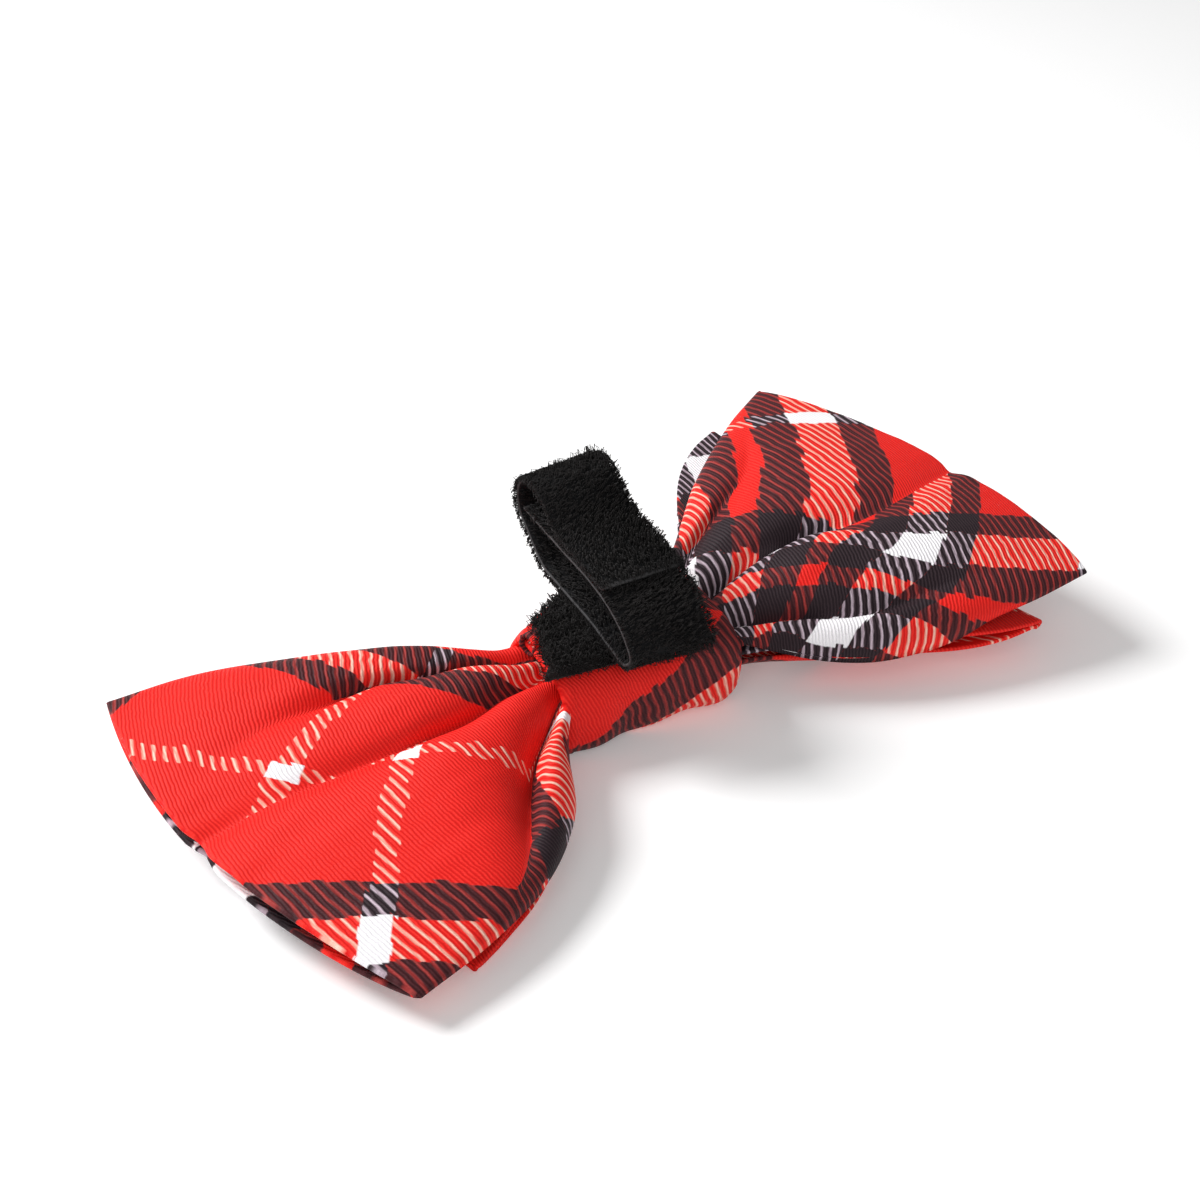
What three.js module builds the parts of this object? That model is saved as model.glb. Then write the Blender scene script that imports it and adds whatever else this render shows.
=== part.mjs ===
// A two-layer tartan bow tie for a pet, lying on its front face with its rear side up.
// A gathered band holds a hollow back bow and a smaller folded front bow, and a hook-and-loop
// strap on a small pile patch makes the flat loop that a collar is slid through.
// Millimetres, +X to the bow's right end, +Y to its far long side, +Z up from the surface.
import * as THREE from 'three';

// Room between pieces that touch, and the walls of cloth
const GAP = 0.3;
const CLOTH = 1.2;
const LEAST_HOLLOW = 0.5;

// The back bow: a sewn tube whose two plies meet in a slit at each end
const BACK_SPAN = 140;          // between the corners of its ends
const BACK_END_BULGE = 7;       // how far an end stands out past its corners
const BACK_HALF_DEPTH = 38;     // from the middle line to a corner
const BACK_END_HEIGHT = 3;      // of the end's seam above the parting of the two bows
const BACK_END_THICKNESS = 4.4;
const BACK_PLUMP = 9;           // of the fullest lobe above the parting

// The front bow: a band folded back on itself at both ends, open along its long sides
const FRONT_SPAN = 118;
const FRONT_HALF_DEPTH = 38.5;
const FRONT_END_THICKNESS = 4;
const FRONT_PLUMP = 8.4;        // of its fullest lobe below the parting

// The band round the middle
const KNOT_WIDTH = 31;
const KNOT_SHIFT = -0.9;        // of its middle, along its own width
const KNOT_TURN = 13;           // degrees that it is turned from square across the bow
const KNOT_DEPTH = 26;
const KNOT_TOP = 7.6;           // above the parting
const KNOT_BOTTOM = 9;          // below the parting, where the bow rests
const KNOT_WALL = 2.2;
const KNOT_EDGE_ROLL = 1;       // how far its rolled edges fall in
const KNOT_SQUARENESS = 3.4;

// The pile patch on the rear of the band
const PATCH_LENGTH = 30;
const PATCH_WIDTH = 14.5;
const PATCH_THICKNESS = 1.2;
const PATCH_SHIFT = -5.5;
const PATCH_TURN = 17;

// The hook-and-loop strap
const STRAP_WIDTH = 13.5;
const STRAP_THICKNESS = 1.8;
const STRAP_TURN = 13.7;
const STRAP_SHIFT = -0.8;
const STRAP_NOSE = 15.2;        // reach of its near bend from the middle line
const STRAP_BACK = 22.3;        // reach of its far bend
const STRAP_BEND = 5;           // middle radius of the far bend
const STRAP_MOUTH = 5.9;        // height of the slot that a collar goes through
const STRAP_FREE_END = 6.3;     // where the free end stops, short of the near bend

// How the bow lies: its far side and its right end are a little raised
const LEAN_FAR = 5.354;
const LEAN_RIGHT = 3.478;
const PARTING_HEIGHT = KNOT_BOTTOM;
const REST_GAP = 0.25;

// Each wing from the band to its end. Along is a share of the wing's length, far and near are
// shares of the growth from the band to the corner, plump is a share of the fullest lobe.
const LEFT_WING = [
  { along: 0.00, far: 0.00, near: 0.00, plump: 0.56 },
  { along: 0.08, far: 0.05, near: 0.18, plump: 0.80 },
  { along: 0.18, far: 0.20, near: 0.39, plump: 0.94 },
  { along: 0.32, far: 0.44, near: 0.57, plump: 1.00 },
  { along: 0.46, far: 0.62, near: 0.70, plump: 0.98 },
  { along: 0.60, far: 0.78, near: 0.81, plump: 0.92 },
  { along: 0.74, far: 0.92, near: 0.88, plump: 0.83 },
  { along: 0.88, far: 1.00, near: 0.94, plump: 0.70 },
  { along: 1.00, far: 1.04, near: 1.00, plump: 0.58 },
];
const RIGHT_WING = [
  { along: 0.00, far: 0.00, near: 0.00, plump: 0.56 },
  { along: 0.08, far: 0.11, near: 0.26, plump: 0.80 },
  { along: 0.18, far: 0.27, near: 0.48, plump: 0.94 },
  { along: 0.32, far: 0.41, near: 0.70, plump: 1.00 },
  { along: 0.46, far: 0.54, near: 0.86, plump: 0.98 },
  { along: 0.60, far: 0.68, near: 0.95, plump: 0.94 },
  { along: 0.74, far: 0.81, near: 1.00, plump: 0.86 },
  { along: 0.88, far: 0.92, near: 1.02, plump: 0.72 },
  { along: 1.00, far: 1.00, near: 1.03, plump: 0.58 },
];
const FRONT_WING = [
  { along: 0.00, spread: 0.00, plump: 0.70 },
  { along: 0.10, spread: 0.08, plump: 0.88 },
  { along: 0.24, spread: 0.30, plump: 0.98 },
  { along: 0.40, spread: 0.56, plump: 1.00 },
  { along: 0.58, spread: 0.79, plump: 0.92 },
  { along: 0.78, spread: 0.94, plump: 0.74 },
  { along: 1.00, spread: 1.00, plump: 0.48 },
];

// The valleys of the rear ply. At and endAt are shares of the half depth, + on the far side,
// depth is a share of the fullest lobe, reach and width are shares of the wing's length and
// of the half depth.
const LEFT_FOLDS = [
  { name: 'far valley', at: 0.56, endAt: 0.50, depth: 0.62, reach: 0.90, width: 0.13 },
  { name: 'middle seam', at: 0.08, endAt: 0.10, depth: 0.40, reach: 1.80, width: 0.10 },
  { name: 'near valley', at: -0.50, endAt: -0.90, depth: 0.75, reach: 0.62, width: 0.15 },
];
const RIGHT_FOLDS = [
  { name: 'far valley', at: 0.60, endAt: 0.84, depth: 0.60, reach: 0.90, width: 0.13 },
  { name: 'middle seam', at: -0.04, endAt: -0.07, depth: 0.40, reach: 1.80, width: 0.10 },
  { name: 'near valley', at: -0.62, endAt: -0.92, depth: 0.70, reach: 0.66, width: 0.15 },
];
const FRONT_PLEATS = [
  { name: 'far pleat', at: 0.40, endAt: 0.50, depth: 0.36, reach: 0.70, width: 0.22 },
  { name: 'near pleat', at: -0.40, endAt: -0.50, depth: 0.36, reach: 0.70, width: 0.22 },
];

// The patch's left end is cut unevenly: across is a share of its half width, out of its length
const PATCH_RAGGED_END = [
  { across: 1.00, out: 0.00 },
  { across: 0.62, out: 0.05 },
  { across: 0.30, out: 0.01 },
  { across: -0.05, out: 0.04 },
  { across: -0.45, out: 0.02 },
  { across: -0.80, out: 0.08 },
  { across: -1.00, out: 0.05 },
];

const radians = THREE.MathUtils.degToRad;
const knotTurn = radians(KNOT_TURN);
const knotHalfWidth = KNOT_WIDTH / 2;
const knotHalfDepth = KNOT_DEPTH / 2;

// A wing starts where the turned band's widest corner ends
const rootReach = knotHalfWidth * Math.cos(knotTurn) + knotHalfDepth * Math.sin(knotTurn)
  + Math.abs(KNOT_SHIFT) + GAP;
const rootHalfDepth = knotHalfDepth - KNOT_WALL - GAP;
const rootTop = KNOT_TOP - KNOT_WALL - GAP;

const lean = new THREE.Matrix4().makeRotationFromEuler(
  new THREE.Euler(radians(LEAN_FAR), -radians(LEAN_RIGHT), 0));
const lie = new THREE.Matrix4().makeTranslation(0, 0, PARTING_HEIGHT).multiply(lean);

const material = (color, roughness) => new THREE.MeshStandardMaterial({
  color, roughness, metalness: 0, side: THREE.FrontSide,
});

// Value of one column of a table between its rows, on a smooth curve through them
function between(table, along, column) {
  const last = table.length - 1;
  let row = 0;
  while (row < last - 1 && along > table[row + 1].along) row += 1;
  const a = table[row];
  const b = table[row + 1];
  const before = table[Math.max(row - 1, 0)];
  const after = table[Math.min(row + 2, last)];
  const share = THREE.MathUtils.clamp((along - a.along) / (b.along - a.along), 0, 1);
  const p = [before[column], a[column], b[column], after[column]];
  return 0.5 * (2 * p[1] + (p[2] - p[0]) * share
    + (2 * p[0] - 5 * p[1] + 4 * p[2] - p[3]) * share ** 2
    + (3 * p[1] - p[0] - 3 * p[2] + p[3]) * share ** 3);
}

// Depth of all valleys at a place on a wing, as a share of the fullest lobe
function foldDepth(folds, along, across) {
  let depth = 0;
  for (const fold of folds) {
    const centre = THREE.MathUtils.lerp(fold.at, fold.endAt, Math.min(along / fold.reach, 1));
    const fade = Math.max(1 - along / fold.reach, 0) ** 0.7;
    depth += fold.depth * fade * Math.exp(-(((across - centre) / fold.width) ** 2));
  }
  return depth;
}

// Inside the band the bows follow its turned middle line, and leave it further out
function sway(x) {
  const inside = Math.min(Math.abs(x), rootReach) * Math.sign(x);
  const leave = THREE.MathUtils.smoothstep(Math.abs(x), rootReach, rootReach * 2.2);
  return -Math.tan(knotTurn) * inside * (1 - leave);
}

// Lays a point of the bow as it rests, and presses it up to a lowest height
function laid(x, y, z, lowest = -Infinity) {
  const point = new THREE.Vector3(x, y, z).applyMatrix4(lie);
  point.z = Math.max(point.z, lowest);
  return point;
}

// One closed body from an outer and an inner skin, each a list of rings, joined by a rim at
// both ends. The rings run the same way round in both skins.
function hollowBody(outer, inner) {
  const count = outer[0].length;
  const rows = outer.length;
  const positions = [...outer, ...inner].flat().flatMap((p) => [p.x, p.y, p.z]);
  const index = [];
  const quad = (a, b, c, d) => index.push(a, b, c, a, c, d);
  for (let row = 0; row < rows - 1; row += 1) {
    for (let k = 0; k < count; k += 1) {
      const next = (k + 1) % count;
      const a = row * count;
      const b = (row + 1) * count;
      const skin = rows * count;
      quad(a + k, a + next, b + next, b + k);
      quad(skin + a + next, skin + a + k, skin + b + k, skin + b + next);
    }
  }
  for (let k = 0; k < count; k += 1) {
    const next = (k + 1) % count;
    const end = (rows - 1) * count;
    const skin = rows * count;
    quad(k, skin + k, skin + next, next);
    quad(end + next, skin + end + next, skin + end + k, end + k);
  }
  const geometry = new THREE.BufferGeometry();
  geometry.setAttribute('position', new THREE.Float32BufferAttribute(positions, 3));
  geometry.setIndex(index);
  geometry.computeVertexNormals();
  return geometry;
}

// Places across a section, from the far edge to the near edge and back along the other ply
function acrossPlaces(rearCount, frontCount) {
  const places = [];
  for (let k = 0; k <= rearCount; k += 1) {
    const even = 1 - 2 * k / rearCount;
    const round = Math.cos(Math.PI * k / rearCount);
    places.push({ across: THREE.MathUtils.lerp(even, round, 0.4), rear: true });
  }
  for (let k = 1; k < frontCount; k += 1) {
    places.push({ across: -Math.cos(Math.PI * k / frontCount), rear: false });
  }
  return places;
}

// One section of the back bow, inset by 0 for its outer skin and by the cloth for its inner
function backSection(side, along, inset) {
  const wing = side < 0 ? LEFT_WING : RIGHT_WING;
  const folds = side < 0 ? LEFT_FOLDS : RIGHT_FOLDS;
  const growth = BACK_HALF_DEPTH - rootHalfDepth;
  const far = rootHalfDepth + growth * between(wing, along, 'far') - inset;
  const near = rootHalfDepth + growth * between(wing, along, 'near') - inset;
  const eased = THREE.MathUtils.smoothstep(along, 0, 1);
  const edge = THREE.MathUtils.lerp(rootTop / 2, BACK_END_HEIGHT, eased);
  const crest = Math.max(rootTop + (BACK_PLUMP - rootTop)
    * (between(wing, along, 'plump') - wing[0].plump) / (1 - wing[0].plump),
    BACK_END_HEIGHT + BACK_END_THICKNESS / 2) - inset;
  const floor = THREE.MathUtils.lerp(GAP / 2, BACK_END_HEIGHT - BACK_END_THICKNESS / 2, eased ** 3)
    + inset;
  const middle = rootReach + (BACK_SPAN / 2 - rootReach) * along;
  return acrossPlaces(30, 10).map(({ across, rear }) => {
    const crown = Math.sqrt(1 - Math.abs(across) ** 2.6);
    const y = across * (across > 0 ? far : near);
    const x = side * (middle + BACK_END_BULGE * along ** 3 * (1 - across ** 2));
    const plain = edge + (rear ? crest - edge : floor - edge) * crown;
    const valley = rear ? foldDepth(folds, along, across) * BACK_PLUMP * crown : 0;
    const lowestRear = floor + (inset > 0 ? LEAST_HOLLOW : LEAST_HOLLOW + 2 * CLOTH) * crown;
    const z = rear ? Math.max(plain - valley, Math.min(plain, lowestRear)) : plain;
    return laid(x, y + sway(x), z);
  });
}

function backBow() {
  const alongs = [1, 0.94, 0.86, 0.74, 0.62, 0.5, 0.39, 0.28, 0.18, 0.09, 0];
  const skin = (inset) => [
    ...alongs.map((along) => backSection(-1, along, inset)),
    ...alongs.toReversed().map((along) => backSection(1, along, inset)),
  ];
  return hollowBody(skin(0), skin(CLOTH));
}

// One loop of the front bow at a share of its depth: along the rear ply, round the right fold
// and back along the front ply to the left fold
function frontLoop(share, inset) {
  const alongs = [0.96, 0.82, 0.66, 0.5, 0.36, 0.22, 0.1, 0];
  const wingLength = FRONT_SPAN / 2 - rootReach;
  const rearHeight = -GAP / 2 - inset;
  const point = (side, along, front) => {
    const spread = between(FRONT_WING, along, 'spread');
    const x = side * (rootReach + wingLength * along - (along > 0.9 ? inset : 0));
    const y = share * (rootHalfDepth + (FRONT_HALF_DEPTH - rootHalfDepth) * spread);
    const plump = between(FRONT_WING, along, 'plump');
    const rootBottom = KNOT_BOTTOM - KNOT_WALL - GAP;
    const low = rootBottom + (FRONT_PLUMP - rootBottom)
      * (plump - FRONT_WING[0].plump) / (1 - FRONT_WING[0].plump);
    const full = Math.max(low, FRONT_END_THICKNESS + GAP / 2);
    const squeezed = (1 - Math.abs(share) ** KNOT_SQUARENESS) ** (1 / KNOT_SQUARENESS);
    const crown = THREE.MathUtils.lerp(squeezed, 1 - 0.45 * share ** 4,
      THREE.MathUtils.smoothstep(along, 0.05, 0.4));
    const pleat = foldDepth(FRONT_PLEATS, along, share) * FRONT_PLUMP * Math.min(along * 6, 1);
    const thinnest = 2 * CLOTH + LEAST_HOLLOW + GAP / 2;
    const frontHeight = -Math.max(full * crown - pleat, thinnest) + inset;
    const inKnot = 1 - THREE.MathUtils.smoothstep(along, 0, 0.16);
    const lowest = THREE.MathUtils.lerp(REST_GAP, KNOT_WALL + GAP, inKnot) + inset;
    return laid(x, y + sway(x), front ? frontHeight : rearHeight, front ? lowest : -Infinity);
  };
  const fold = (side) => {
    const y = share * FRONT_HALF_DEPTH;
    const x = side * (FRONT_SPAN / 2 - inset);
    return laid(x, y, -(GAP + FRONT_END_THICKNESS) / 2, REST_GAP + inset);
  };
  return [
    fold(-1),
    ...alongs.map((along) => point(-1, along, false)),
    ...alongs.toReversed().map((along) => point(1, along, false)),
    fold(1),
    ...alongs.map((along) => point(1, along, true)),
    ...alongs.toReversed().map((along) => point(-1, along, true)),
  ];
}

function frontBow() {
  const shares = [-1, -0.8, -0.6, -0.4, -0.2, 0, 0.2, 0.4, 0.6, 0.8, 1];
  const skin = (inset) => shares.map((share) => frontLoop(share, inset));
  return hollowBody(skin(0), skin(CLOTH));
}

// The band: rounded sections across its own width, flat where it rests
function knotBand() {
  const rims = [-1, -0.93, -0.5, 0, 0.5, 0.93, 1];
  const sides = 32;
  const section = (rim, inner) => {
    const along = KNOT_SHIFT + rim * knotHalfWidth;
    const roll = !inner && Math.abs(rim) === 1 ? KNOT_EDGE_ROLL : 0;
    const inset = inner ? KNOT_WALL : roll;
    const tilt = Math.abs(Math.sin(radians(LEAN_FAR))) * knotHalfDepth
      + Math.abs(Math.sin(radians(LEAN_RIGHT))) * (knotHalfWidth + Math.abs(KNOT_SHIFT));
    const points = [];
    for (let k = 0; k < sides; k += 1) {
      const angle = 2 * Math.PI * k / sides;
      const power = 2 / KNOT_SQUARENESS;
      const out = Math.sign(Math.cos(angle)) * Math.abs(Math.cos(angle)) ** power;
      const up = Math.sign(Math.sin(angle)) * Math.abs(Math.sin(angle)) ** power;
      const y = out * (knotHalfDepth - inset);
      const z = up > 0 ? up * (KNOT_TOP - inset) : up * (KNOT_BOTTOM + (inner ? 0 : tilt) - inset);
      const x = along * Math.cos(knotTurn) + y * Math.sin(knotTurn);
      const turnedY = y * Math.cos(knotTurn) - along * Math.sin(knotTurn);
      points.push(laid(x, turnedY, z, inner ? KNOT_WALL : roll / 2));
    }
    return points;
  };
  return hollowBody(rims.map((rim) => section(rim, false)), rims.map((rim) => section(rim, true)));
}

// Turns, shifts and lays a flat extrusion that was drawn on the bow's rear
function placeOnKnot(geometry, turn, shift, height) {
  geometry.translate(shift, 0, height);
  geometry.rotateZ(-radians(turn));
  geometry.applyMatrix4(lie);
  return geometry;
}

function strapBase() {
  const right = PATCH_LENGTH / 2;
  const half = PATCH_WIDTH / 2;
  const outline = new THREE.Shape();
  outline.moveTo(right, -half);
  outline.lineTo(right, half);
  for (const { across, out } of PATCH_RAGGED_END) {
    outline.lineTo(-right + out * PATCH_LENGTH, across * half);
  }
  const pad = new THREE.ExtrudeGeometry(outline, { depth: PATCH_THICKNESS, bevelEnabled: false });
  return placeOnKnot(pad, PATCH_TURN, PATCH_SHIFT, KNOT_TOP + GAP);
}

// Middle line of the strap, seen along the bow: from its inner end over the collar slot,
// round the near bend, along the patch, up the far side and back over itself
function strapCourse() {
  const half = STRAP_THICKNESS / 2;
  const base = KNOT_TOP + GAP + PATCH_THICKNESS + GAP + half;
  const near = base + STRAP_MOUTH + STRAP_THICKNESS;
  const bend = { along: STRAP_BACK - STRAP_BEND, up: near + 1.1 };
  const rise = near - base;
  const slot = new THREE.CatmullRomCurve3([
    { along: -0.20, up: 1.00 },
    { along: -0.59, up: 0.86 },
    { along: -0.89, up: 0.55 },
    { along: -1.00, up: 0.26 },
    { along: -0.89, up: 0.02 },
    { along: -0.60, up: 0.00 },
  ].map(({ along, up }) => new THREE.Vector3(along * STRAP_NOSE, base + up * rise, 0)));
  const freeEndUp = near + STRAP_THICKNESS + GAP - 0.14 * rise;
  const course = new THREE.Path();
  course.moveTo(STRAP_BACK - half - 1.7, near);
  for (const point of slot.getPoints(14)) course.lineTo(point.x, point.y);
  course.lineTo(STRAP_BACK * 0.54, base);
  course.absarc(bend.along, bend.up, STRAP_BEND, -1.15, Math.PI / 2 + 0.18, false);
  course.lineTo(-STRAP_FREE_END, freeEndUp);
  return course;
}

function strapLoop() {
  const points = strapCourse().getPoints(9);
  const half = STRAP_THICKNESS / 2;
  const sideAt = (k, sign) => {
    const before = points[Math.max(k - 1, 0)];
    const after = points[Math.min(k + 1, points.length - 1)];
    const along = after.clone().sub(before).normalize();
    return new THREE.Vector2(points[k].x - sign * along.y * half, points[k].y + sign * along.x * half);
  };
  const left = points.map((_, k) => sideAt(k, 1));
  const right = points.map((_, k) => sideAt(k, -1)).reverse();
  const outline = new THREE.Shape([...left, ...right]);
  const strap = new THREE.ExtrudeGeometry(outline, { depth: STRAP_WIDTH, bevelEnabled: false });
  strap.translate(0, 0, -STRAP_WIDTH / 2);
  strap.applyMatrix4(new THREE.Matrix4().makeBasis(
    new THREE.Vector3(0, 1, 0), new THREE.Vector3(0, 0, 1), new THREE.Vector3(1, 0, 0)));
  return placeOnKnot(strap, STRAP_TURN, STRAP_SHIFT, 0);
}

function piece(name, geometry, finish) {
  const mesh = new THREE.Mesh(geometry, finish);
  mesh.name = name;
  return mesh;
}

const tartan = 0xd3201c;
const hookAndLoop = 0x161616;
const bowTie = new THREE.Group();
bowTie.add(
  piece('back_bow', backBow(), material(tartan, 0.8)),
  piece('front_bow', frontBow(), material(tartan, 0.8)),
  piece('knot_band', knotBand(), material(tartan, 0.8)),
  piece('strap_base', strapBase(), material(hookAndLoop, 0.95)),
  piece('strap_loop', strapLoop(), material(hookAndLoop, 0.95)),
);

// The origin is under the middle of the whole, on the surface that it rests on
const reach = new THREE.Box3().setFromObject(bowTie, true);
const centre = reach.getCenter(new THREE.Vector3());
bowTie.position.set(-centre.x, -centre.y, -reach.min.z);
bowTie.updateMatrixWorld(true);

export default bowTie;
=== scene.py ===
import math

import bpy
import numpy as np
from mathutils import Matrix, Vector, noise


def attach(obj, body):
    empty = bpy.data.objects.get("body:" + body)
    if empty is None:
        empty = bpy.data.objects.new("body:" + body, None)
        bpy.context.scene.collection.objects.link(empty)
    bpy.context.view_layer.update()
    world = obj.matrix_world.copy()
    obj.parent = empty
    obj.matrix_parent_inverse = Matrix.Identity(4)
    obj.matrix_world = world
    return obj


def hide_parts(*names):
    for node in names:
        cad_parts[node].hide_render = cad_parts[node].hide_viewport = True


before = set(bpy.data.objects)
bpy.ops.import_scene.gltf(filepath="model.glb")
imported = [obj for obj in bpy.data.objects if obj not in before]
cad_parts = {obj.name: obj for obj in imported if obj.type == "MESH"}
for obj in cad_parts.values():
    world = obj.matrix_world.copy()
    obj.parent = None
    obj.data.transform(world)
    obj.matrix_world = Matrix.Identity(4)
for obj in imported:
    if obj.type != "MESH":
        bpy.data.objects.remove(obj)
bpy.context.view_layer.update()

# The bow lies on its front with its rear side up. All shapes below are worked out in the bow's
# own frame: millimetres, X to its right end, Y to its far side, Z up from the parting of its
# two layers. lay() then puts them where the bow rests.
MM = 0.001
LEAN_FAR = math.radians(5.354)
LEAN_RIGHT = math.radians(3.478)
PARTING_HEIGHT = 9.0
RECENTRED = (0.158, 0.1425)

lean = np.array(Matrix.Rotation(LEAN_FAR, 3, "X") @ Matrix.Rotation(-LEAN_RIGHT, 3, "Y"))


def lay(points):
    """Bow frame in millimetres to the row frame in metres."""
    laid = np.asarray(points) @ lean.T
    return (laid + (*RECENTRED, PARTING_HEIGHT)) * MM


def smooth_step(value, low=0.0, high=1.0):
    t = np.clip((value - low) / (high - low), 0, 1)
    return t * t * (3 - 2 * t)


def through(rows, at):
    """Values at some places on smooth curves through rows of (place, value, ...)."""
    rows = np.array(rows, float)
    place, values = rows[:, 0], rows[:, 1:]
    at = np.clip(np.asarray(at, float), place[0], place[-1])
    slopes = np.gradient(values, place, axis=0)
    k = np.clip(np.searchsorted(place, at) - 1, 0, len(place) - 2)
    step = place[k + 1] - place[k]
    t = ((at - place[k]) / step)[..., None]
    step = step[..., None]
    found = ((1 + 2 * t) * (1 - t) ** 2 * values[k] + t * (1 - t) ** 2 * step * slopes[k]
             + t * t * (3 - 2 * t) * values[k + 1] + t * t * (t - 1) * step * slopes[k + 1])
    return np.moveaxis(found, -1, 0)


def unit(vectors):
    return vectors / np.maximum(np.linalg.norm(vectors, axis=-1, keepdims=True), 1e-9)


def arc_length(points, axis=0):
    """Running length along one axis of a grid of points, from its first."""
    steps = np.linalg.norm(np.diff(points, axis=axis), axis=-1)
    return np.concatenate([np.zeros_like(np.take(steps, [0], axis)), np.cumsum(steps, axis)], axis)


def rumple(points, size, height, seed):
    """Smooth uneven heights over a grid of points."""
    shape = points.shape[:-1]
    flat = points.reshape(-1, points.shape[-1]) / size
    found = [noise.noise(Vector((p[0], p[1], seed * 7.31 + (p[2] if len(p) > 2 else 0))))
             for p in flat]
    return height * np.array(found).reshape(shape)


def finished(name, points, faces, uvs, finish, replaces=None):
    """Makes a closed mesh into a piece that rides on the bow. uvs has a row for each corner."""
    points = lay(points)
    mesh = bpy.data.meshes.new(name)
    faces = [tuple(int(i) for i in f) for f in faces]
    mesh.from_pydata([tuple(p) for p in points], [], faces)
    if uvs is not None:
        layer = mesh.uv_layers.new(name="flat cloth")
        layer.data.foreach_set("uv", np.asarray(uvs, np.float32).ravel())
    mesh.materials.append(finish)
    mesh.shade_smooth()
    mesh.update()
    piece = bpy.data.objects.new(name, mesh)
    bpy.context.scene.collection.objects.link(piece)
    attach(piece, "root")
    if replaces:
        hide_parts(replaces)
    return piece


def signed_volume(points, faces):
    faces = np.asarray(faces)
    total = 0.0
    for k in range(1, faces.shape[1] - 1):
        a, b, c = points[faces[:, 0]], points[faces[:, k]], points[faces[:, k + 1]]
        total += np.einsum("ij,ij->i", a, np.cross(b, c)).sum()
    return total / 6


def facing_out(points, faces):
    """The faces, turned over if they face inward."""
    return faces[:, ::-1] if signed_volume(points, faces) < 0 else faces


def tube_quads(rows, columns):
    """Faces of a grid of points whose columns close on themselves, with both ends open."""
    r, c = np.meshgrid(np.arange(rows - 1), np.arange(columns), indexing="ij")
    beside = (c + 1) % columns
    corners = [r * columns + c, r * columns + beside, (r + 1) * columns + beside, (r + 1) * columns + c]
    return np.stack(corners, -1).reshape(-1, 4)


def folded_quads(rows, columns):
    """Faces of such a tube when it lies folded in two, with both ends closed."""
    k = np.arange(columns // 2 - 1)
    cap = np.stack([k, columns - 1 - k, columns - 2 - k, k + 1], -1)
    return np.concatenate([tube_quads(rows, columns), cap, (cap + (rows - 1) * columns)[:, ::-1]])


RIM_STEPS = 6


def walled(skin, flat, wall):
    """Gives a skin a wall. skin is a grid (rows, columns, 3) whose columns close on themselves
    and whose rows run from one open edge to the other. The wall is laid on its inner side and
    both open edges get a rounded rim. flat is the cloth's flat place for each point.
    Returns a grid that closes on itself both ways, with its flat places."""
    along = np.gradient(skin, axis=0)
    around = np.roll(skin, -1, 1) - np.roll(skin, 1, 1)
    normal = unit(np.cross(along, around))
    centre = skin.mean(1, keepdims=True)
    if np.einsum("rcx,rcx->", skin - centre, normal) < 0:
        normal = -normal
    wall = np.broadcast_to(np.asarray(wall, float), skin.shape[:2])[..., None]
    inner = skin - normal * wall

    def rim(row, outward):
        out = unit(along[row]) * outward
        middle = skin[row] - normal[row] * wall[row] / 2
        turns = np.linspace(0, math.pi, RIM_STEPS + 2)[1:-1]
        return [middle + (np.cos(a) * normal[row] + np.sin(a) * out) * wall[row] / 2 for a in turns]

    last = len(skin) - 1
    grid = np.concatenate([skin, rim(last, 1), inner[::-1], rim(0, -1)[::-1]])
    last_edge, first_edge = ([flat[row]] * RIM_STEPS for row in (last, 0))
    return grid, np.concatenate([flat, last_edge, flat[::-1], first_edge])


def cloth_piece(name, grid, flats, part_of_column, finish, replaces):
    """A piece of cloth from a grid that closes on itself both ways. flats holds one flat place a
    point for each part of the cloth, and part_of_column says which part a column of faces is."""
    rows, columns = grid.shape[:2]
    r, c = np.meshgrid(np.arange(rows), np.arange(columns), indexing="ij")
    below, beside = (r + 1) % rows, (c + 1) % columns
    corner_rows = np.stack([r, below, below, r], -1).reshape(-1, 4)
    corner_columns = np.stack([c, c, beside, beside], -1).reshape(-1, 4)
    faces = corner_rows * columns + corner_columns
    points = grid.reshape(-1, 3)
    part = part_of_column[c.reshape(-1)]
    uvs = flats[part[:, None], corner_rows, corner_columns]
    if signed_volume(points, faces) < 0:
        faces, uvs = faces[:, ::-1], uvs[:, ::-1]
    return finished(name, points, faces, uvs.reshape(-1, 2) * MM, finish, replaces)


# Finishes

def group_of(name, inputs, outputs):
    """A shader node group with named sockets, and its wiring."""
    group = bpy.data.node_groups.new(name, "ShaderNodeTree")
    for socket, kind, default in inputs:
        made = group.interface.new_socket(name=socket, in_out="INPUT", socket_type=kind)
        if default is not None:
            made.default_value = default
    for socket, kind in outputs:
        group.interface.new_socket(name=socket, in_out="OUTPUT", socket_type=kind)
    return group, Wiring(group, group.nodes.new("NodeGroupInput"))


# Colour sockets of Blender's Mix node, which has one set for each kind of value
MIX_FIRST, MIX_SECOND, MIX_RESULT = 6, 7, 2


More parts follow.
